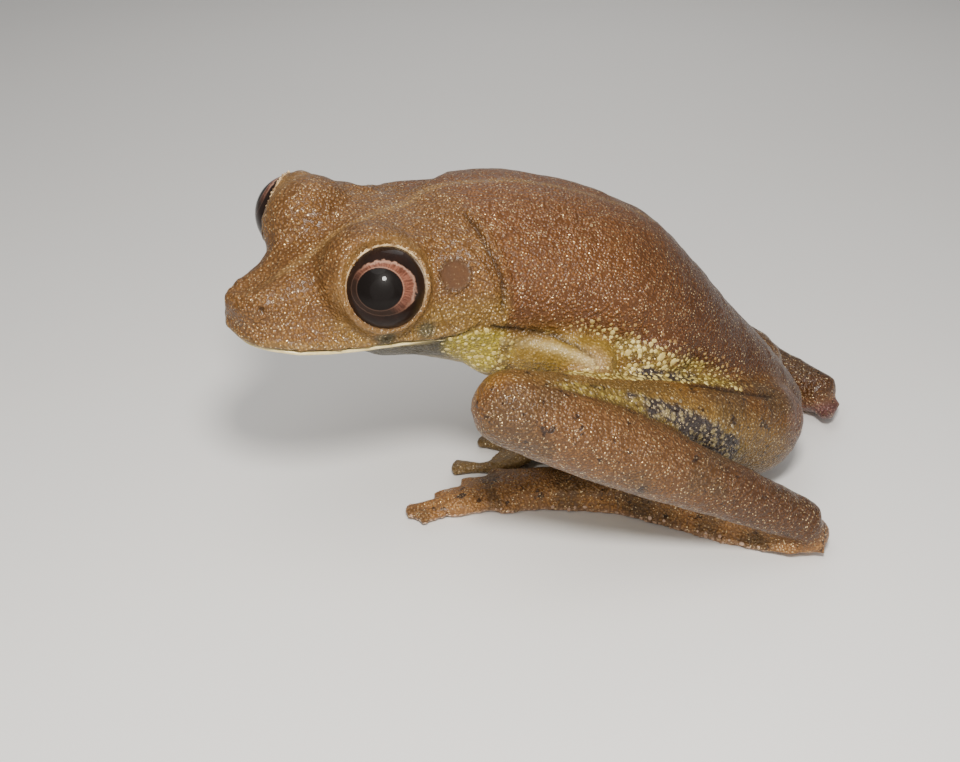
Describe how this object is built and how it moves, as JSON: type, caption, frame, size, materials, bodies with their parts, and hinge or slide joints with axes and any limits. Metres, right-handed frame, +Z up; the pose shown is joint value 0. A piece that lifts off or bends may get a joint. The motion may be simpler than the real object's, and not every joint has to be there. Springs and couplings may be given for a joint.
{
  "type": "upper orinoco tree frog",
  "caption": "Life-size still model of a large brown tree frog that crouches on folded hind legs with its head turned to its left.",
  "frame": {"origin": "on the floor, under the middle of the frog's box", "axes": "-X is the way the trunk faces, -Y is towards the frog's left side, +Z is up"},
  "size_m": [0.0944, 0.0854, 0.0508],
  "materials": {
    "skin": "moist, finely granular brown skin with yellow and slate blue flanks",
    "eye": "glossy wet eye with a copper iris and a wide black pupil"
  },
  "bodies": {
    "root": {"head": "skin", "lower_jaw": "skin", "eye_left": "eye", "eye_right": "eye", "torso": "skin", "upper_arm_left": "skin", "forearm_left": "skin", "hand_left": "skin", "upper_arm_right": "skin", "forearm_right": "skin", "hand_right": "skin", "thigh_left": "skin", "shank_left": "skin", "tarsus_left": "skin", "foot_left": "skin", "thigh_right": "skin", "shank_right": "skin", "tarsus_right": "skin", "foot_right": "skin"}
  },
  "joints": []
}
